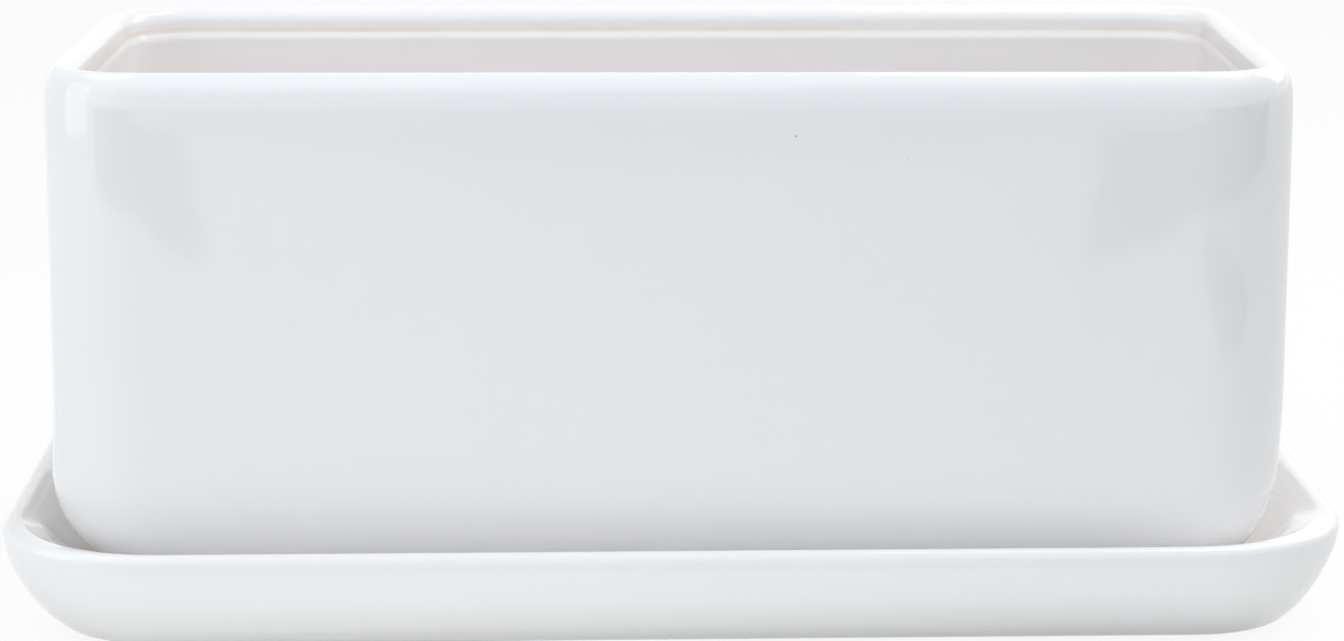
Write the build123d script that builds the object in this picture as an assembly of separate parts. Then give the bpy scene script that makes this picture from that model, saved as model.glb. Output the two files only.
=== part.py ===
# Indoor herb planter: a glazed ceramic trough that stands in a flared ceramic drip tray.
# Millimetres, +Z up. The length runs along X and the front faces -Y.
# The origin lies on the shelf, below the middle of the trough.
import os
from math import asin, cos, floor, radians, sin

from build123d import *

# Trough
POT_LENGTH = 300.0
POT_WIDTH = 138.0
POT_HEIGHT = 133.0  # from the soles of its feet to the rim
POT_CORNER = 24.0  # plan radius of the upright corners
POT_WALL = 8.6
POT_FLOOR = 6.5
BELLY_RADIUS = 32.0  # rounding from the walls into the base
BASE_CORNER = 12.0  # plan radius at the corners of the flat base
CAVITY_CORNER = 9.0  # plan radius at the corners of the flat floor inside
RIM_DEPTH = 7.5  # from the rim down to the casting step
RIM_STEP = 0.6  # how far the wall below the casting step stands in
STEP_ROUND = 0.75  # the step's rounding, as a share of its width

# Feet cast below the trough, which let the drained water out
FOOT_DIAMETER = 16.0
FOOT_HEIGHT = 1.5
FOOT_MARGIN = 3.0  # from a foot to the edge of the flat base

# Drain holes and the loose net squares that cover them
DRAIN_NAMES = ("left", "middle", "right")
DRAIN_DIAMETER = 12.0
SCREEN_SIZE = 36.0
SCREEN_THICKNESS = 1.0
SCREEN_BORDER = 2.0  # least width of the solid edge
NET_GAP = 2.2
NET_BAR = 1.0

# Drip tray
TRAY_REACH = 14.0  # how far its rim stands out beyond the trough
TRAY_HEIGHT = 26.5
TRAY_FLOOR = 4.2
TRAY_RIM = 3.8  # width of the rim before it is rounded
TRAY_LIP = 4.5  # height of the upright lip at the rim
WALL_TOP_LEAN = 14.0  # degrees from upright, outside, just below the lip
WALL_FOOT_LEAN = 59.0  # degrees from upright, outside, where the wall meets the base
DISH_TOP_LEAN = 38.0  # degrees from upright, inside, at the rim
DISH_FOOT_LEAN = 62.0  # degrees from upright, inside, where the wall meets the floor
DISH_CORNER = 52.0  # plan radius of the inside's corners at the rim, which makes the rim broader there
LIP_ROUND = 0.6  # rounding of the rim's outer edge, as a share of its width
CREST_ROUND = 0.25  # rounding of its inner edge
TRAY_TURN = 1.3  # degrees that the tray stands turned below the trough, as set down by hand
RING_HEIGHT = 1.2  # foot ring below the tray
RING_WIDTH = 6.0

# Rubber pads glued into the recess below the tray
PAD_DIAMETER = 14.0
PAD_THICKNESS = 2.2
PAD_MARGIN = 4.0  # from a pad to the foot ring

BULL_NOSE = 0.47  # rounding on each side of the trough's rim, as a share of its wall
LEVELS = 7  # steps between the outlines that a curved wall is lofted through

# Heights above the shelf
recess_z = PAD_THICKNESS
tray_base_z = recess_z - RING_HEIGHT
tray_floor_z = recess_z + TRAY_FLOOR
tray_rim_z = tray_base_z + TRAY_HEIGHT
lip_z = tray_rim_z - TRAY_LIP
pot_base_z = tray_floor_z + FOOT_HEIGHT
pot_floor_z = pot_base_z + POT_FLOOR
pot_rim_z = tray_floor_z + POT_HEIGHT

# Plan sizes that follow from the trough
base_length = POT_LENGTH - 2 * BELLY_RADIUS
base_width = POT_WIDTH - 2 * BELLY_RADIUS
drain_pitch = base_length / len(DRAIN_NAMES)
tray_length = POT_LENGTH + 2 * TRAY_REACH
tray_width = POT_WIDTH + 2 * TRAY_REACH
tray_corner = POT_CORNER + TRAY_REACH


def outline(length, width, corner, z):
    return Plane.XY.offset(z) * RectangleRounded(length, width, corner)


def pot_outline(inset, z):
    return outline(POT_LENGTH - 2 * inset, POT_WIDTH - 2 * inset, POT_CORNER - inset, z)


def tray_outline(inset, z):
    return outline(tray_length - 2 * inset, tray_width - 2 * inset, tray_corner - inset, z)


def dish_outline(inset, z):
    corner = DISH_CORNER + TRAY_RIM - inset
    return outline(tray_length - 2 * inset, tray_width - 2 * inset, corner, z)


def box_with_belly(wall, belly, base_corner, low, high):
    # Upright walls, set in from the trough's outside, on a belly that rounds into a flat base
    length = POT_LENGTH - 2 * wall
    width = POT_WIDTH - 2 * wall
    corner = POT_CORNER - wall
    levels = []
    for step in range(LEVELS + 1):
        turn = radians(90 * step / LEVELS)
        inset = belly * (1 - sin(turn))
        level_corner = corner + (base_corner - corner) * inset / belly
        z = low + belly * (1 - cos(turn))
        levels.append(outline(length - 2 * inset, width - 2 * inset, level_corner, z))
    upright = extrude(pot_outline(wall, low + belly), high - low - belly)
    return loft(levels) + upright


def make_pot():
    body = box_with_belly(0, BELLY_RADIUS, BASE_CORNER, pot_base_z, pot_rim_z)
    cavity_belly = BELLY_RADIUS - POT_WALL
    body -= box_with_belly(POT_WALL, cavity_belly, CAVITY_CORNER, pot_floor_z, pot_rim_z)
    rim_wall = POT_WALL - RIM_STEP
    body -= extrude(pot_outline(rim_wall, pot_rim_z), -RIM_DEPTH)
    casting_step = body.faces().filter_by(Plane.XY).sort_by(Axis.Z)[-2]
    body = fillet(casting_step.inner_wires()[0].edges(), STEP_ROUND * RIM_STEP)
    rim = body.faces().sort_by(Axis.Z)[-1]
    body = fillet(rim.edges(), BULL_NOSE * rim_wall)
    foot_x = base_length / 2 - FOOT_MARGIN - FOOT_DIAMETER / 2
    foot_y = base_width / 2 - FOOT_MARGIN - FOOT_DIAMETER / 2
    for place in GridLocations(2 * foot_x, 2 * foot_y, 2, 2):
        sole = Plane.XY.offset(tray_floor_z) * place * Circle(FOOT_DIAMETER / 2)
        body += extrude(sole, FOOT_HEIGHT)
    for place in GridLocations(drain_pitch, 0, len(DRAIN_NAMES), 1):
        hole = Plane.XY.offset(pot_base_z) * place * Circle(DRAIN_DIAMETER / 2)
        body -= extrude(hole, POT_FLOOR)
    return body


def make_screen():
    # A square net, centred on the origin
    cell = NET_GAP + NET_BAR
    cells = floor((SCREEN_SIZE - 2 * SCREEN_BORDER + NET_BAR) / cell)
    net = Rectangle(SCREEN_SIZE, SCREEN_SIZE)
    net -= [place * Rectangle(NET_GAP, NET_GAP) for place in GridLocations(cell, cell, cells, cells)]
    return extrude(net, SCREEN_THICKNESS)


def flare(z, low, high, top_lean, foot_lean):
    # How far in a wall has come at height z: seen from the end it is an arc between two leans
    top, foot = radians(top_lean), radians(foot_lean)
    radius = (high - low) / (sin(foot) - sin(top))
    lean = asin(sin(top) + (high - z) / radius)
    return radius * (cos(top) - cos(lean))


def outer_inset(z):
    return flare(z, tray_base_z, lip_z, WALL_TOP_LEAN, WALL_FOOT_LEAN)


def inner_inset(z):
    return TRAY_RIM + flare(z, tray_floor_z, tray_rim_z, DISH_TOP_LEAN, DISH_FOOT_LEAN)


def flared_body(outline_at, inset_at, low, high):
    levels = []
    for step in range(LEVELS + 1):
        z = low + (high - low) * step / LEVELS
        levels.append(outline_at(inset_at(z), z))
    return loft(levels)


def make_tray():
    body = flared_body(tray_outline, outer_inset, tray_base_z, lip_z)
    body += extrude(tray_outline(0, lip_z), TRAY_LIP)
    body -= flared_body(dish_outline, inner_inset, tray_floor_z, tray_rim_z)
    rim = body.faces().sort_by(Axis.Z)[-1]
    body = fillet(rim.outer_wire().edges(), LIP_ROUND * TRAY_RIM)
    rim = body.faces().filter_by(Plane.XY).sort_by(Axis.Z)[-1]
    body = fillet(rim.inner_wires()[0].edges(), CREST_ROUND * TRAY_RIM)
    recess = tray_outline(outer_inset(tray_base_z) + RING_WIDTH, tray_base_z)
    return body - extrude(recess, RING_HEIGHT)


def pad_places():
    inset = outer_inset(tray_base_z) + RING_WIDTH + PAD_MARGIN + PAD_DIAMETER / 2
    x = tray_length / 2 - inset
    y = tray_width / 2 - inset
    return {
        "front_left": (-x, -y),
        "front_right": (x, -y),
        "back_left": (-x, y),
        "back_right": (x, y),
    }


def make_parts():
    tray_pose = Rot(0, 0, TRAY_TURN)
    parts = {"planter_pot": make_pot(), "drip_tray": tray_pose * make_tray()}
    screen = make_screen()
    for name, place in zip(DRAIN_NAMES, GridLocations(drain_pitch, 0, len(DRAIN_NAMES), 1)):
        parts["drain_screen_" + name] = Pos(0, 0, pot_floor_z) * place * screen
    for name, (x, y) in pad_places().items():
        pad = extrude(Pos(x, y) * Circle(PAD_DIAMETER / 2), PAD_THICKNESS)
        parts["tray_pad_" + name] = tray_pose * pad
    return parts


os.makedirs("parts", exist_ok=True)
for node, shape in make_parts().items():
    export_step(shape, "parts/" + node + ".step")
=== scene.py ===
import math
import bmesh
import bpy
from mathutils import Matrix, Vector, noise


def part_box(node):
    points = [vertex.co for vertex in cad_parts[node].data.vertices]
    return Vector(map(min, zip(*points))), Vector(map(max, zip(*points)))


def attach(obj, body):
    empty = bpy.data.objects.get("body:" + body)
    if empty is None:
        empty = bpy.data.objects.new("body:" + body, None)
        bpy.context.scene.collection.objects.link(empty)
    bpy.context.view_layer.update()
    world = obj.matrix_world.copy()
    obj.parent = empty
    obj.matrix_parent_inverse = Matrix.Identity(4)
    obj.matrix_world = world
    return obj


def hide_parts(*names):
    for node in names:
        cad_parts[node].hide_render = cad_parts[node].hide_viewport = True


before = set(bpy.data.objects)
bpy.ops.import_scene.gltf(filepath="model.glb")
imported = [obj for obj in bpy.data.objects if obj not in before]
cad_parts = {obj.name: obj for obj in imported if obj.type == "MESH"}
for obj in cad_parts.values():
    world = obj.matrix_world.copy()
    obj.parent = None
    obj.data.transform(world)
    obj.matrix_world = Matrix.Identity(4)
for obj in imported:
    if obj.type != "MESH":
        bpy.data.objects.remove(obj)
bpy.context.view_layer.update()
mm = 0.001
touch = 0.001 * mm  # spots nearer than this are one
drainSides = ("left", "middle", "right")
padPlaces = ("front_left", "front_right", "back_left", "back_right")
print("frame loaded:", len(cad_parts), "nodes")


# Rings with the same number of points, so that one can be extruded into the next
ringLook = {"corner": 10, "long": 26, "short": 12, "round": 28,  # steps
            "leastCorner": 0.2 * mm}


def circleSpot(centre, radius, angle):
    return centre + radius * Vector((math.cos(angle), math.sin(angle)))


def roundSpots(centre, radius):
    steps = ringLook["round"]
    return [circleSpot(centre, radius, 2 * math.pi * step / steps) for step in range(steps)]


def rectangleSpots(halfX, halfY, corner):  # a rounded rectangle round the origin
    corner = max(corner, ringLook["leastCorner"])
    x, y = halfX - corner, halfY - corner
    centres = [Vector((x, y)), Vector((-x, y)), Vector((-x, -y)), Vector((x, -y))]
    spots = []
    for turn, centre in enumerate(centres):
        for step in range(ringLook["corner"] + 1):
            angle = math.radians(90 * (turn + step / ringLook["corner"]))
            spots.append(circleSpot(centre, corner, angle))
        start = spots[-1]
        end = circleSpot(centres[(turn + 1) % 4], corner, math.radians(90 * (turn + 1)))
        steps = ringLook["long"] if turn % 2 == 0 else ringLook["short"]
        spots += [start.lerp(end, step / steps) for step in range(1, steps)]
    return spots


def ringEdges(ring):
    edges = []
    for here, there in zip(ring, ring[1:] + ring[:1]):
        edges += [e for e in here.link_edges if e.other_vert(here) == there]
    return edges


def pullRing(bm, ring, spots, z):  # extrudes a closed ring of vertices and sets it down at its next level
    made = bmesh.ops.extrude_edge_only(bm, edges=ringEdges(ring))["geom"]
    fresh = {v for v in made if isinstance(v, bmesh.types.BMVert)}
    pulled = []
    for vert, spot in zip(ring, spots):
        new = next(e.other_vert(vert) for e in vert.link_edges if e.other_vert(vert) in fresh)
        new.co = (spot.x, spot.y, z)
        pulled.append(new)
    return pulled


def castRings(bm, rings):  # rings are (spots, z); gives the edges of the first one and of the last
    spots, z = rings[0]
    first = list(bmesh.ops.create_circle(bm, cap_ends=False, segments=len(spots), radius=1)["verts"])
    for vert, spot in zip(first, spots):
        vert.co = (spot.x, spot.y, z)
    ring = first
    for spots, z in rings[1:]:
        ring = pullRing(bm, ring, spots, z)
    return ringEdges(first), ringEdges(ring)


def castLevels(bm, half, levels):  # levels are (inset, corner, z)
    rings = []
    for inset, corner, z in levels:
        rings.append((rectangleSpots(half.x - inset, half.y - inset, corner), z))
    return castRings(bm, rings)


def castRound(bm, centre, profile):  # a profile is (radius, z)
    return castRings(bm, [(roundSpots(centre, radius), z) for radius, z in profile])


def spread(low, high, steps):
    return [low + (high - low) * step / steps for step in range(steps + 1)]


def section(profile, inset, z):  # a profile in mm, as (in, down), set off from one place
    return [(inset + into * mm, z - down * mm) for into, down in profile]


def clamp(value):
    return min(max(value, 0), 1)


def outward(vert):  # above 0 where the surface looks away from the middle, below 0 where it looks inwards
    return vert.normal.x * vert.co.x + vert.normal.y * vert.co.y


def middle(node):
    low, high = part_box(node)
    return (low + high) / 2


def setNormals(bm):
    bmesh.ops.recalc_face_normals(bm, faces=bm.faces[:])
    bm.normal_update()


def addObject(bm, name, material):
    mesh = bpy.data.meshes.new(name)
    bm.to_mesh(mesh)
    bm.free()
    mesh.materials.append(material)
    thing = bpy.data.objects.new(name, mesh)
    bpy.context.scene.collection.objects.link(thing)
    return thing


def finishPiece(bm, name, body, node, material):
    setNormals(bm)
    piece = addObject(bm, name, material)
    faces = piece.data.polygons
    faces.foreach_set("use_smooth", [True] * len(faces))
    smooth = piece.modifiers.new("smooth", "SUBSURF")
    smooth.levels = smooth.render_levels = 1
    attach(piece, body)
    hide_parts(node)
    print(name, "made with", len(faces), "faces")


# Shader maths
def plug(tree, socket, value):  # links a wire, or sets a constant
    if isinstance(value, Wire):
        tree.links.new(value.socket, socket)
    else:
        socket.default_value = value


class Wire:
    def __init__(self, tree, socket):
        self.tree = tree
        self.socket = socket

    def maths(self, operation, first, second=0.0):
        node = self.tree.nodes.new("ShaderNodeMath")
        node.operation = operation
        plug(self.tree, node.inputs[0], first)
        plug(self.tree, node.inputs[1], second)
        return Wire(self.tree, node.outputs[0])

    def other(self, output):  # another output of the same node
        return Wire(self.tree, self.socket.node.outputs[output])

    def greater(self, value):  # the greater of the two
        return self.maths("MAXIMUM", self, value)

    def either(self, value):  # of two masks
        return self + value - self * value

    def __abs__(self):
        return self.maths("ABSOLUTE", self)

    def __add__(self, value):
        return self.maths("ADD", self, value)

    def __radd__(self, value):
        return self.maths("ADD", value, self)

    def __sub__(self, value):
        return self.maths("SUBTRACT", self, value)

    def __rsub__(self, value):
        return self.maths("SUBTRACT", value, self)

    def __mul__(self, value):
        return self.maths("MULTIPLY", self, value)

    def __rmul__(self, value):
        return self.maths("MULTIPLY", value, self)

    def __lt__(self, value):
        return self.maths("LESS_THAN", self, value)


class Paint:
    def __init__(self, owner):  # a material or the world
        owner.use_nodes = True
        self.owner = owner
        self.tree = owner.node_tree

    def set(self, node, sockets):
        for key, value in sockets.items():
            plug(self.tree, node.inputs[key], value)

    def node(self, kind, settings=None, sockets=None, out=0):
        node = self.tree.nodes.new(kind)
        for key, value in (settings or {}).items():
            setattr(node, key, value)
        self.set(node, sockets or {})
        return Wire(self.tree, node.outputs[out])

    def spot(self, space="Object"):
        return self.node("ShaderNodeTexCoord", out=space)

    def axis(self, spot, name):
        return self.node("ShaderNodeSeparateXYZ", None, {"Vector": spot}, name)

    def layer(self, name):  # a value that the vertices carry
        return self.node("ShaderNodeAttribute", {"attribute_name": name}, out="Fac")

    def mottle(self, spot, look):  # look is (scale per metre, detail, roughness)
        scale, detail, roughness = look
        sockets = {"Vector": spot, "Scale": scale, "Detail": detail, "Roughness": roughness}
        return self.node("ShaderNodeTexNoise", None, sockets)

    def ramp(self, value, ends):  # 0 below the first end, 1 above the second
        settings = {"clamp": True, "interpolation_type": "SMOOTHSTEP"}
        sockets = {"Value": value, "From Min": ends[0], "From Max": ends[1]}
        return self.node("ShaderNodeMapRange", settings, sockets)

    def mix(self, factor, first, second):  # colours
        return self.node("ShaderNodeMix", {"data_type": "RGBA"}, {0: factor, 6: first, 7: second}, 2)

    def mixShader(self, factor, first, second):
        return self.node("ShaderNodeMixShader", None, {0: factor, 1: first, 2: second})

    def glow(self, colour):
        return self.node("ShaderNodeEmission", None, {"Color": colour, "Strength": 1.0})

    def bump(self, height, strength, depth):
        return self.node("ShaderNodeBump", None, {"Height": height, "Strength": strength, "Distance": depth})

    def finish(self, sockets):
        self.set(self.tree.nodes["Principled BSDF"], sockets)
        return self.owner


# The glaze, with clay left bare below and specks in it; a mottle is (scale per metre, detail, roughness)
glazeLook = {
    # the inside colour is a warmer tint: partly a creamier glaze, partly painted warm bounce light
    "white": (0.91, 0.893, 0.884, 1), "cloud": (0.902, 0.887, 0.88, 1), "inner": (0.92, 0.89, 0.876, 1),
    "thin": (0.84, 0.75, 0.67, 1), "clay": (0.72, 0.63, 0.52, 1), "speck": (0.16, 0.13, 0.11, 1),
    "cloudMottle": (16, 2, 0.5), "frayMottle": (28, 4, 0.6), "grainMottle": (700, 3, 0.5),
    "rippleMottle": (30, 1, 0.4), "peelMottle": (260, 1, 0.5),
    "cloudEnds": (0.35, 0.7), "thinEnds": (0.2, 1.1), "speckEnds": (0.72, 1.0),
    "frayLift": 0.45, "speckCell": 30 * mm, "speckRadius": 0.32 * mm, "speckShade": 0.75, "clayShade": 0.86,
    "peelHeight": 0.05, "bumpStrength": 1.0, "bumpDepth": 0.03 * mm, "bareHeight": 0.05 * mm,
    "roughness": 0.05, "cloudRough": 0.03, "thinRough": 0.03, "bareRough": 0.6, "ior": 1.56}
# painted light: the tray's glaze is a lighter copy of the pot's, which brightens the tray against the pot
trayGlazeLook = {**glazeLook, "white": (0.945, 0.93, 0.92, 1), "cloud": (0.938, 0.925, 0.915, 1)}


def glazePaint(name, look):
    paint = Paint(bpy.data.materials.new(name))
    spot = paint.spot()
    thin = paint.layer("thinGlaze")
    bare = paint.layer("bareClay")
    cloud = paint.mottle(spot, look["cloudMottle"])
    colour = paint.mix(paint.ramp(cloud, look["cloudEnds"]), look["white"], look["cloud"])
    # inside the pot the glaze takes a warmer tint: partly a creamier glaze, partly painted warm bounce light
    colour = paint.mix(paint.layer("innerGlaze"), colour, look["inner"])
    fray = paint.mottle(spot, look["frayMottle"]) + look["frayLift"]
    colour = paint.mix(paint.ramp(thin * fray, look["thinEnds"]), colour, look["thin"])
    cells = {"Vector": spot, "Scale": 1 / look["speckCell"]}
    reach = paint.node("ShaderNodeTexVoronoi", None, cells, "Distance")
    pick = paint.node("ShaderNodeSeparateColor", None, {"Color": reach.other("Color")})
    speckSize = paint.ramp(pick, look["speckEnds"]) * (look["speckRadius"] / look["speckCell"])
    colour = paint.mix((reach < speckSize) * look["speckShade"], colour, look["speck"])
    grain = paint.mottle(spot, look["grainMottle"])
    darkClay = tuple(part * look["clayShade"] for part in look["clay"][:3]) + (1,)
    colour = paint.mix(bare, colour, paint.mix(grain, look["clay"], darkClay))
    ripple = paint.mottle(spot, look["rippleMottle"])
    peel = paint.mottle(spot, look["peelMottle"])
    height = ripple + peel * look["peelHeight"] + grain * bare
    bump = paint.bump(height, look["bumpStrength"], look["bumpDepth"])
    rough = cloud * look["cloudRough"] + (look["roughness"] - look["cloudRough"] / 2)
    rough = rough + bare * look["bareRough"] + thin * look["thinRough"]
    return paint.finish({"Base Color": colour, "Roughness": rough, "Normal": bump, "IOR": look["ior"]})


def markBare(bm, soleZ):  # a piece stands on unglazed clay
    bare = bm.verts.layers.float.new("bareClay")
    for vert in bm.verts:
        if vert.co.z < soleZ + glazeLook["bareHeight"]:
            vert[bare] = 1.0


potGlaze = glazePaint("pot_glaze", glazeLook)
trayGlaze = glazePaint("tray_glaze", trayGlazeLook)


# The trough, cast in one from its base round the rim and down to the floor inside
potLook = {
    "corner": 24 * mm, "belly": 32 * mm, "wall": 8.6 * mm, "floor": 6.5 * mm, "baseCorner": 12 * mm,
    "cavityCorner": 9 * mm, "rimDepth": 7.5 * mm, "rimStep": 0.6 * mm, "bullNose": 0.47,
    "footHeight": 1.5 * mm, "footRadius": 8 * mm, "footMargin": 3 * mm, "flatMargin": 3 * mm,
    "drainRadius": 6 * mm, "drainEdge": 1.0 * mm, "drainBend": 0.3,
    "bellySteps": 12, "wallSteps": 12, "noseSteps": 6, "innerSteps": 10, "wallEnd": 18 * mm,
    "shoulder": [(0, 14), (0.03, 11), (0.1, 9), (0.2, 7.5), (0.36, 6), (0.56, 4.9), (0.85, 3.8), (1.25, 2.8),
                 (1.75, 1.95), (2.35, 1.2), (3.0, 0.6), (3.6, 0.18)],  # in and down from the rim, mm
    "ledge": [(0, 3.2), (0, 2.2), (0.03, 1.7), (0.12, 1.3), (0.3, 0.9), (0.58, 0.4), (0.88, -0.1),
              (1.12, -0.6), (1.22, -1.1), (1.2, -1.6), (1.12, -2.2), (1.04, -2.9),
              (1, -3.6)],  # in, as a share of the step, and up, mm
    "sole": [(0.9, 0), (0.25, 0.35), (0, 0.8), (-0.25, 1.25), (-0.9, 1.5), (-2.2, 1.5)],  # out and down, mm
    "wave": 0.10 * mm, "waveLength": 70 * mm, "waveSeed": (3.1, 7.7, 1.3),
    "calm": 1.2 * mm, "calmRim": 1 * mm,  # margins that the wave spares
    "lean": 1.0 * mm, "leanReach": 1.6, "innerBelow": 3 * mm, "floorBand": 0.5 * mm,
    "thinBand": (0.8 * mm, 1.8 * mm), "thinLeft": 1.0, "thinRight": 0.7, "thinShift": 0.7}


def bellyLevels(wall, belly, wallCorner, flatCorner, low, turns):
    levels = []
    for turn in turns:
        inset = belly * (1 - math.sin(math.radians(turn)))
        corner = wallCorner + (flatCorner - wallCorner) * inset / belly
        levels.append((wall + inset, corner, low + belly * (1 - math.cos(math.radians(turn)))))
    return levels


def potLevels(look, base, floorZ, rimZ, stepZ):
    belly, wall, corner, flat = (look[key] for key in ("belly", "wall", "corner", "flatMargin"))
    cavityBelly = belly - wall
    rimWall = wall - look["rimStep"]
    rimRound = look["bullNose"] * rimWall
    levels = [(belly + flat, look["baseCorner"] - flat, base)]
    levels += bellyLevels(0, belly, corner, look["baseCorner"], base, spread(0, 90, look["bellySteps"]))
    outerWall = spread(base + belly, rimZ - look["wallEnd"], look["wallSteps"])
    levels += [(0, corner, z) for z in outerWall[1:]]
    levels += [(inset, corner - inset, z) for inset, z in section(look["shoulder"], 0, rimZ)]
    for turn in spread(90, 180, look["noseSteps"]):  # down on the inside of the rim
        inset = rimWall / 2 * (1 - math.cos(math.radians(turn)))
        levels.append((inset, corner - inset, rimZ - rimRound * (1 - math.sin(math.radians(turn)))))
    for into, up in look["ledge"]:  # the casting step inside
        inset = rimWall + into * look["rimStep"]
        levels.append((inset, corner - inset, stepZ + up * mm))
    innerWall = spread(levels[-1][2], floorZ + cavityBelly, look["innerSteps"])
    levels += [(wall, corner - wall, z) for z in innerWall[1:]]
    turns = spread(90, 0, look["innerSteps"])[1:]
    levels += bellyLevels(wall, cavityBelly, corner - wall, look["cavityCorner"], floorZ, turns)
    levels.append((belly + flat, look["cavityCorner"] - flat, floorZ))
    return levels


def castPot(bm, look, half, levels, base, floorZ):
    underEdges, floorEdges = castLevels(bm, half, levels)
    edge = look["drainEdge"]
    bend = look["drainBend"] * edge
    mouth = [(edge, 0), (bend, bend), (0, edge)]
    drain = [(look["drainRadius"] + out, floorZ - down) for out, down in mouth]
    drain += [(look["drainRadius"] + out, base + up) for out, up in reversed(mouth)]
    for side in drainSides:
        top, bottom = castRound(bm, middle("drain_screen_" + side).to_2d(), drain)
        floorEdges += top
        underEdges += bottom
    inset = look["belly"] + look["footMargin"] + look["footRadius"]
    rise = look["footHeight"] / look["sole"][-1][1]
    foot = [(look["footRadius"] + out * mm, base - down * rise) for out, down in look["sole"]]
    for signX in (-1, 1):
        for signY in (-1, 1):
            centre = Vector((signX * (half.x - inset), signY * (half.y - inset)))
            top, sole = castRound(bm, centre, foot)
            underEdges += top
            bmesh.ops.contextual_create(bm, geom=sole)
    for edges in (floorEdges, underEdges):
        bmesh.ops.triangle_fill(bm, use_beauty=True, use_dissolve=False, edges=edges)


def makePot(look):
    low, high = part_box("planter_pot")
    half = (high - low) / 2
    base = low.z + look["footHeight"]
    floorZ = base + look["floor"]
    stepZ = high.z - look["rimDepth"]
    thinLow, thinHigh = look["thinBand"]
    bm = bmesh.new()
    castPot(bm, look, half, potLevels(look, base, floorZ, high.z, stepZ), base, floorZ)
    setNormals(bm)
    markBare(bm, low.z)
    thin = bm.verts.layers.float.new("thinGlaze")
    inner = bm.verts.layers.float.new("innerGlaze")
    for vert in bm.verts:
        x, z = vert.co.x, vert.co.z
        inside = outward(vert) < 0
        offFloor = abs(z - floorZ)
        if inside and thinLow < z - stepZ < thinHigh:  # the glaze runs thin on the casting step
            along = clamp(x / half.x + look["thinShift"])
            vert[thin] = look["thinLeft"] + (look["thinRight"] - look["thinLeft"]) * along
        # marks the inside for the warmer tint: partly a creamier glaze, partly painted warm bounce light
        if inside and z < high.z - look["innerBelow"] or offFloor < look["floorBand"]:
            vert[inner] = 1.0
        if base + look["calm"] < z < high.z - look["calmRim"] and offFloor > look["calm"]:
            wave = noise.noise(vert.co / look["waveLength"] + Vector(look["waveSeed"]))
            move = vert.normal * look["wave"] * wave
            if not inside:  # the belly leans a little to the left
                rise = (z - base) / look["belly"]
                move.x -= look["lean"] * math.sin(math.pi * min(rise / look["leanReach"], 1)) ** 2
            vert.co += move
    finishPiece(bm, "pot_body", "pot", "planter_pot", potGlaze)


makePot(potLook)


# The drip tray: foot ring, flared wall, lip and dished inside
trayLook = {
    "reach": 14 * mm, "floor": 4.2 * mm, "rim": 3.8 * mm, "lip": 4.5 * mm,
    "ring": 1.2 * mm, "ringWidth": 6 * mm,
    "wallLeans": (14, 59), "wallFrom": 1.2 * mm, "wallEnd": 1.8 * mm, "wallSteps": 14,
    "dishLeans": (38, 62), "dishFrom": 4.6 * mm, "dishEnd": 1.2 * mm, "dishSteps": 16,
    "leastCorner": 4 * mm, "softCorner": 18 * mm, "softReach": 6 * mm,
    "recess": [(3, 0), (0.8, 0), (0.2, 0.15)],  # these profiles are in and down, mm
    "ringInside": [(0, -0.5), (-0.3, -0.12), (-1, 0)],
    "ringOutside": [(2.6, 0), (1.2, -0.1), (0.3, -0.45)],
    "bead": [(0.36, 5.8), (0.25, 5.2), (0.16, 4.7), (0.08, 4.1), (0.03, 3.5), (0.0, 2.9), (0.0, 2.3),
             (0.02, 1.8), (0.15, 1.25), (0.5, 0.7), (0.95, 0.32), (1.45, 0.1), (2.0, 0.0)],
    "crest": [(2.7, 0.06), (3.4, 0.28), (4.05, 0.7), (4.65, 1.3), (5.3, 2.05), (6.05, 2.8), (6.85, 3.7)],
    "dishFoot": [(2.2, -0.42), (4.6, -0.1), (8, 0)],
    "wave": 0.14 * mm, "waveLength": 55 * mm, "waveSeed": (1.7, 2.2, 9.4), "waveSink": 0.8,
    "calm": 1 * mm, "calmFoot": 2 * mm,  # margins that the wave spares
    "crease": {"depth": 1.2 * mm, "from": 2.3 * mm, "deepen": 2.4 * mm, "fadeFrom": 5.2 * mm,
               "fade": 8.5 * mm, "end": 0.94, "endFade": 0.16},
    "slump": {"depth": 2.2 * mm, "from": 0.6, "grow": 0.3, "height": 16 * mm, "steep": 0.5}}


def trayTurn():  # how far the tray stands turned, from the row of its front pads
    row = middle("tray_pad_front_right") - middle("tray_pad_front_left")
    return math.atan2(row.y, row.x)


def flare(z, low, high, leans):  # how far in a wall has come at z, on an arc between two leans from upright
    top, foot = (math.radians(lean) for lean in leans)
    radius = (high - low) / (math.sin(foot) - math.sin(top))
    lean = math.asin(math.sin(top) + (high - z) / radius)
    return radius * (math.cos(top) - math.cos(lean))


def trayLevels(look, low, high, floorZ, corner):
    lipZ = high - look["lip"]
    foot = flare(low, low, lipZ, look["wallLeans"])
    ring = foot + look["ringWidth"]
    outside = section(look["recess"], ring, low + look["ring"])
    outside += section(look["ringInside"], ring, low)
    outside += section(look["ringOutside"], foot, low)
    for z in spread(low + look["wallFrom"], lipZ - look["wallEnd"], look["wallSteps"]):
        outside.append((flare(z, low, lipZ, look["wallLeans"]), z))
    outside += section(look["bead"], 0, high)
    inside = section(look["crest"], 0, high)
    for z in spread(high - look["dishFrom"], floorZ + look["dishEnd"], look["dishSteps"]):
        inside.append((look["rim"] + flare(z, floorZ, high, look["dishLeans"]), z))
    inside += section(look["dishFoot"], inside[-1][0], floorZ)
    levels = [(inset, max(corner - inset, look["leastCorner"]), z) for inset, z in outside]
    top = outside[-1][0]
    for inset, z in inside:  # rounder corners inside make the lip broad there
        soft = look["softCorner"] * min((inset - top) / look["softReach"], 1)
        levels.append((inset, corner - inset + soft, z))
    return levels


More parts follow.
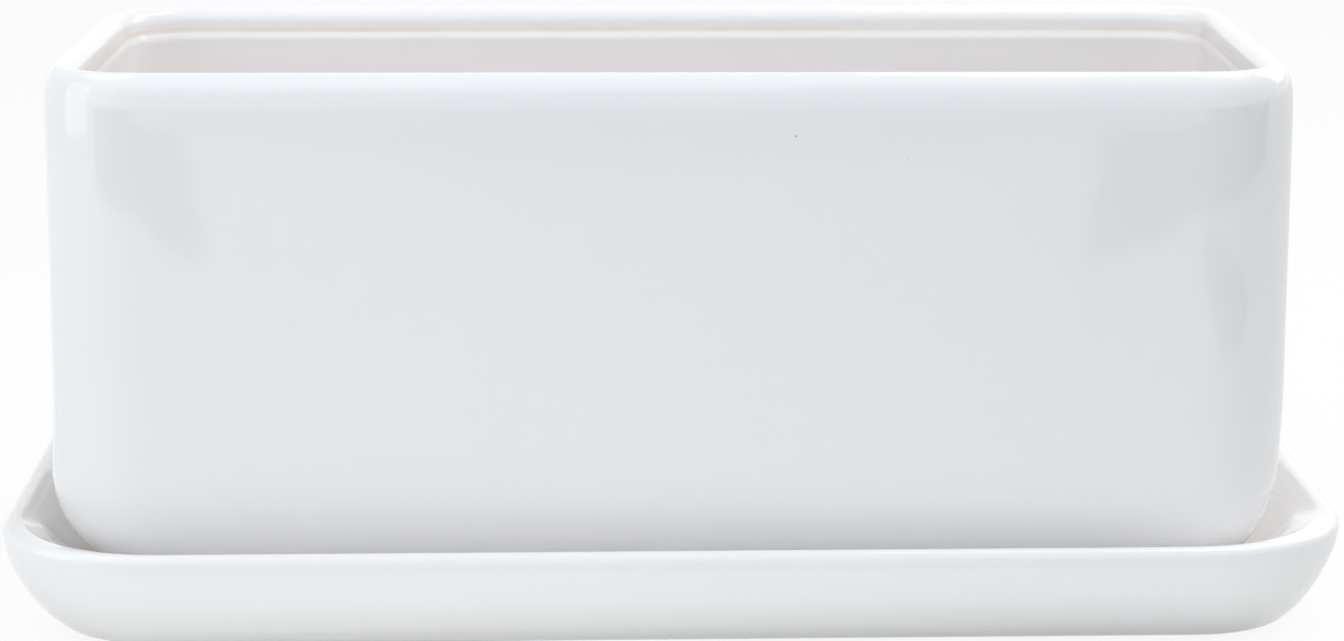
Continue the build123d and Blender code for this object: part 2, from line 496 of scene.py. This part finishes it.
def makeTray(look):
    low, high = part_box("drip_tray")
    potLow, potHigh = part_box("planter_pot")
    half = (potHigh - potLow) / 2 + Vector((look["reach"], look["reach"], 0))
    floorZ = low.z + look["ring"] + look["floor"]
    crease, slump = look["crease"], look["slump"]
    bm = bmesh.new()
    levels = trayLevels(look, low.z, high.z, floorZ, potLook["corner"] + look["reach"])
    for edges in castLevels(bm, half, levels):
        bmesh.ops.contextual_create(bm, geom=edges)
    setNormals(bm)
    markBare(bm, low.z)
    for vert in bm.verts:
        x, z = vert.co.x, vert.co.z
        along, down = x / half.x, high.z - z
        move = Vector()
        if low.z + look["calmFoot"] < z < high.z - look["calm"] and abs(z - floorZ) > look["calm"]:
            wave = noise.noise(vert.co / look["waveLength"] + Vector(look["waveSeed"]))
            move += vert.normal * look["wave"] * (wave - look["waveSink"])
        if outward(vert) > 0 and down > crease["from"]:  # the crease below the lip
            depth = min((down - crease["from"]) / crease["deepen"], 1)
            depth *= max(0, 1 - max(0, down - crease["fadeFrom"]) / crease["fade"])
            depth *= crease["depth"] * clamp((crease["end"] - abs(along)) / crease["endFade"])
            move.y -= math.copysign(depth, vert.co.y)
        if vert.normal.z < slump["steep"] and along > slump["from"]:  # sags at the right end
            sag = (along - slump["from"]) / slump["grow"] * max(0, 1 - (z - low.z) / slump["height"]) ** 2
            move.x += slump["depth"] * min(sag, 1)
        vert.co += move
    turn = Matrix.Rotation(trayTurn(), 3, "Z")
    bmesh.ops.rotate(bm, cent=(0, 0, 0), matrix=turn, verts=bm.verts[:])
    finishPiece(bm, "tray_body", "tray", "drip_tray", trayGlaze)


makeTray(trayLook)


def wornPaint(name, look):  # one colour, worn to another, with a fine grain
    paint = Paint(bpy.data.materials.new(name))
    spot = paint.spot()
    wear = paint.mottle(spot, look["wearMottle"])
    grain = paint.mottle(spot, look["grainMottle"])
    colour = paint.mix(paint.ramp(wear, look["wearEnds"]), look["colour"], look["worn"])
    bump = paint.bump(grain, look["bumpStrength"], look["bumpDepth"])
    rough = wear * look["wearRough"] + (look["roughness"] - look["wearRough"] / 2)
    return paint.finish({"Base Color": colour, "Roughness": rough, "Normal": bump})


# Net squares over the drain holes: a grid of square holes, its bars rounded
netLook = {
    "holes": 10, "gap": 2.2 * mm, "bar": 1.0 * mm,
    "colour": (0.035, 0.037, 0.036, 1), "worn": (0.075, 0.077, 0.075, 1),
    "wearMottle": (420, 3, 0.6), "wearEnds": (0.5, 0.75), "grainMottle": (2600, 1, 0.5),
    "bumpStrength": 0.5, "bumpDepth": 0.06 * mm, "roughness": 0.5, "wearRough": 0.2}
netPlastic = wornPaint("net_plastic", netLook)


def makeNet(side, look):
    node = "drain_screen_" + side
    low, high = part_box(node)
    half = (high - low) / 2
    holes = look["holes"]
    reach = (look["gap"] + look["bar"]) * holes / 2
    rimAt = reach - touch
    bm = bmesh.new()
    bmesh.ops.create_grid(bm, x_segments=holes, y_segments=holes, size=reach)
    cells = bm.faces[:]
    bmesh.ops.inset_individual(bm, faces=cells, thickness=look["bar"] / 2, use_even_offset=True)
    bmesh.ops.delete(bm, geom=cells, context="FACES")
    onRim = {v for v in bm.verts if max(abs(v.co.x), abs(v.co.y)) > rimAt}
    outer = [e for e in bm.edges if e.is_boundary and onRim.intersection(e.verts)]
    grown = bmesh.ops.extrude_edge_only(bm, edges=outer)["geom"]
    for vert in (v for v in grown if isinstance(v, bmesh.types.BMVert)):
        if abs(vert.co.x) > rimAt:
            vert.co.x = math.copysign(half.x, vert.co.x)
        if abs(vert.co.y) > rimAt:
            vert.co.y = math.copysign(half.y, vert.co.y)
    bmesh.ops.recalc_face_normals(bm, faces=bm.faces[:])
    bmesh.ops.solidify(bm, geom=bm.faces[:], thickness=high.z - low.z)
    rise = sum(v.co.z for v in bm.verts) / len(bm.verts)
    bmesh.ops.translate(bm, verts=bm.verts[:], vec=middle(node) - Vector((0, 0, rise)))
    finishPiece(bm, "net_" + side, "screen_" + side, node, netPlastic)


for side in drainSides:
    makeNet(side, netLook)


# Stick-on pads under the tray: turned discs with a soft edge and a dished face
padLook = {
    "edge": 0.5 * mm, "edgeBend": 0.3, "steps": 32,
    "dish": 0.12 * mm, "dishFrom": 1.1 * mm, "dishTo": 1.6 * mm,
    "colour": (0.62, 0.62, 0.61, 1), "worn": (0.48, 0.47, 0.45, 1),
    "wearMottle": (240, 4, 0.65), "wearEnds": (0.45, 0.75), "grainMottle": (1800, 2, 0.5),
    "bumpStrength": 0.6, "bumpDepth": 0.08 * mm, "roughness": 0.62, "wearRough": 0.2}
padRubber = wornPaint("pad_rubber", padLook)


def makePad(place, look):
    node = "tray_pad_" + place
    low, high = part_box(node)
    centre = middle(node)
    radius = (high.x - low.x) / 2
    edge = look["edge"]
    bend = look["edgeBend"] * edge
    dishZ = low.z + look["dish"]
    outline = [(0, high.z), (radius - edge, high.z), (radius - bend, high.z - bend), (radius, high.z - edge),
               (radius, low.z + edge), (radius - bend, low.z + bend), (radius - edge, low.z),
               (radius - look["dishFrom"], low.z), (radius - look["dishTo"], dishZ), (0, dishZ)]
    bm = bmesh.new()
    chain = [bm.verts.new((centre.x + out, centre.y, z)) for out, z in outline]
    edges = [bm.edges.new(pair) for pair in zip(chain, chain[1:])]
    bmesh.ops.spin(bm, geom=chain + edges, cent=(centre.x, centre.y, 0), axis=(0, 0, 1), angle=2 * math.pi,
                   steps=look["steps"], use_merge=True)
    bmesh.ops.remove_doubles(bm, verts=bm.verts[:], dist=touch)
    finishPiece(bm, "pad_" + place, "tray", node, padRubber)


for place in padPlaces:
    makePad(place, padLook)


# Stage: a pale floor, which shows mirrored rays a pattern of painted reflections and has painted shade in
# the light it throws back, and soft light
white = (1, 1, 1, 1)
# painted shade in the light the floor throws back (the camera sees the floor white): darker towards the
# right, and a painted shadow in a dark ring round the tray's foot
floorLook = {
    "size": 8, "left": (0.91, 0.885, 0.85, 1), "right": (0.62, 0.6, 0.575, 1), "fade": (-0.1, 0.45),
    "paintedShadow": (0.45, 0.44, 0.43, 1), "paintedShadowX": 0.143, "paintedShadowY": 0.064, "paintedShadowEdge": (-0.005, 0.02),
    "shift": 0.006, "glow": 0.9}
# painted reflections: colours that only mirrored rays see on the floor, which the glaze shows as bright and
# dim reflections
paintedReflectionLook = {
    "left": (1.08, 1.1, 1.11, 1), "right": (0.86, 0.88, 0.89, 1), "fade": (-0.6, 0.6),
    "shade": (0.02, 0.02, 0.02, 1), "far": (0.66, 0.67, 0.68, 1), "farBend": 2.9, "farEdge": (-0.78, -0.77),
    "stripSlope": 0.139, "stripEdge": (0.084, 0.087),
    "ovalX": 0.87, "ovalY": 0.68, "ovalEdge": (0.985, 1.015),
    "frontSlope": 1.5, "frontEdge": (-0.315, -0.305),
    "backSlope": 1.32, "backEdge": (0.06, 0.14), "backSide": (-0.05, -0.01),
    "patchX": 0.39, "patchY": -0.42, "patchAlong": (2.6, 3.5), "patchAcross": (9.0, 6.6),
    "patchEdge": (0.8, 1.1), "patchShade": 0.2}


# painted reflections: a bright strip, the bright floor round the object, a dim patch at the right and dimmer
# floor far off
def paintedReflectionColour(paint, look, x, y, side):
    # a painted bright reflection strip
    strip = 1 - paint.ramp(side + y * look["stripSlope"], look["stripEdge"])  # widens to the front
    oval = x * x * (1 / look["ovalX"] ** 2) + y * y * (1 / look["ovalY"] ** 2)  # the floor round the object
    near = 1 - paint.ramp(oval, look["ovalEdge"])
    near = near * paint.ramp(y + side * look["frontSlope"], look["frontEdge"])
    ahead = paint.ramp(0 - y, look["backEdge"]) * paint.ramp(x - y * look["backSlope"], look["backSide"])
    near = near.either(1 - ahead)
    # a painted dim reflection at the right
    fromX, fromY = x - look["patchX"], y - look["patchY"]  # a dim patch at the right
    along = fromX * look["patchAlong"][0] + fromY * look["patchAlong"][1]
    across = fromX * look["patchAcross"][0] - fromY * look["patchAcross"][1]
    offPatch = paint.ramp(along * along + across * across, look["patchEdge"])
    near = near * (offPatch * (1 - look["patchShade"]) + look["patchShade"])
    beyond = 1 - paint.ramp(y + x * x * look["farBend"], look["farEdge"])
    bright = paint.mix(paint.ramp(x, look["fade"]), look["left"], look["right"])
    return paint.mix(beyond, paint.mix(strip.either(near), look["shade"], bright), look["far"])


def floorPaint(look):
    paint = Paint(bpy.data.materials.new("floor_white"))
    seen = paint.node("ShaderNodeLightPath", out="Is Camera Ray")
    x = paint.axis(paint.spot(), "X")
    y = x.other("Y")
    side = abs(x + look["shift"])
    # painted shade: the floor darker towards the right, so that less light comes back onto the object's
    # right side
    pale = paint.mix(paint.ramp(x, look["fade"]), look["left"], look["right"])
    # painted shadow: a dark ring just round the tray's foot, which darkens the tray's base
    beside = (side - look["paintedShadowX"]).greater(abs(y) - look["paintedShadowY"])
    pale = paint.mix(paint.ramp(beside, look["paintedShadowEdge"]), look["paintedShadow"], pale)
    matt = paint.node("ShaderNodeBsdfDiffuse", None, {"Color": paint.mix(seen, pale, white)})
    blend = paint.mixShader(seen * look["glow"], matt, paint.glow(white))
    # to mirrored rays the floor glows with the painted reflections
    paintedReflection = paint.glow(paintedReflectionColour(paint, paintedReflectionLook, x, y, side))
    blend = paint.mixShader(seen.other("Is Glossy Ray"), blend, paintedReflection)
    paint.set(paint.tree.nodes["Material Output"], {"Surface": blend})
    paint.tree.nodes.remove(paint.tree.nodes["Principled BSDF"])
    return paint.owner


def makeFloor(look):
    bm = bmesh.new()
    bmesh.ops.create_grid(bm, x_segments=1, y_segments=1, size=look["size"])
    addObject(bm, "floor", floorPaint(look))


worldLook = {"front": (0.86, 0.95, 1.04, 1), "back": (0.02, 0.02, 0.02, 1), "backdrop": (1.2, 1.2, 1.2, 1)}


def makeWorld(look):
    world = bpy.data.worlds.new("studio")
    bpy.context.scene.world = world
    paint = Paint(world)
    y = paint.axis(paint.spot("Generated"), "Y")
    sky = paint.mix(0.5 - y * 0.5, look["back"], look["front"])
    seen = paint.node("ShaderNodeLightPath", out="Is Camera Ray")
    seen = seen + seen.other("Is Glossy Ray") + seen.other("Is Transmission Ray")
    colour = paint.mix(seen, sky, look["backdrop"])
    paint.set(paint.tree.nodes["Background"], {"Color": colour, "Strength": 1.0})


lampLook = {  # place, aim, size, power, colour
    "top_box": ((0.6, 0, 1.2), (0, 0, 0.08), (0.6, 0.6), 1.9, (1.0, 0.88, 0.76)),
    "top_left_box": ((-0.6, 0, 1.2), (0, 0, 0.08), (0.6, 0.6), 1.6, (1.0, 0.88, 0.76)),
    "top_right_box": ((0.26, 0.02, 0.9), (0.17, 0, 0.02), (0.25, 0.3), 1.7, (0.98, 0.98, 1.0)),
    "front_top_box": ((-0.2, -0.5, 0.6), (0, -0.06, 0.1), (0.6, 0.3), 0.25, (0.9, 0.96, 1.0)),
    "back_box": ((0.8, 0.5, 0.6), (0, 0, 0.08), (0.6, 0.6), 2.3, (1.0, 0.97, 0.96)),
    "front_box": ((-0.75, -0.6, 0.45), (0, 0, 0.08), (0.6, 0.6), 0.6, (0.9, 0.95, 1.0)),
    "left_card": ((-0.9, -0.22, 0.305), (0, -0.06, 0.305), (0.45, 0.6), 0.9, (1, 1, 1))}


def makeLamp(name, place, aim, size, power, colour):
    lamp = bpy.data.lights.new(name, "AREA")
    lamp.shape = "RECTANGLE"
    lamp.size, lamp.size_y = size
    lamp.energy = power
    lamp.color = colour
    box = bpy.data.objects.new(name, lamp)
    box.location = place
    box.rotation_euler = (Vector(aim) - Vector(place)).to_track_quat("-Z", "Y").to_euler()
    bpy.context.scene.collection.objects.link(box)


makeFloor(floorLook)
makeWorld(worldLook)
for name, lamp in lampLook.items():
    makeLamp(name, *lamp)
print("stage set")


# The camera, placed by the outlines in the photograph; focal and frameWidth are in pixels
cameraLook = {"focal": 3739.4, "frameWidth": 1344, "place": (-6.12 * mm, -935.24 * mm, 261.49 * mm),
              "down": 11.785, "turn": -0.44, "sensor": 36.0, "clipStart": 50 * mm, "diffuseBounces": 12}


def makeCamera(look):
    lens = bpy.data.cameras.new("camera")
    lens.sensor_width = look["sensor"]
    lens.lens = look["focal"] / look["frameWidth"] * look["sensor"]
    lens.clip_start = look["clipStart"]
    camera = bpy.data.objects.new("camera", lens)
    camera.location = look["place"]
    camera.rotation_euler = (math.radians(90 - look["down"]), 0, math.radians(look["turn"]))
    scene = bpy.context.scene
    scene.collection.objects.link(camera)
    scene.camera = camera
    scene.view_settings.view_transform = "Standard"
    scene.cycles.diffuse_bounces = look["diffuseBounces"]  # light goes on between the white walls


makeCamera(cameraLook)
print("camera set")
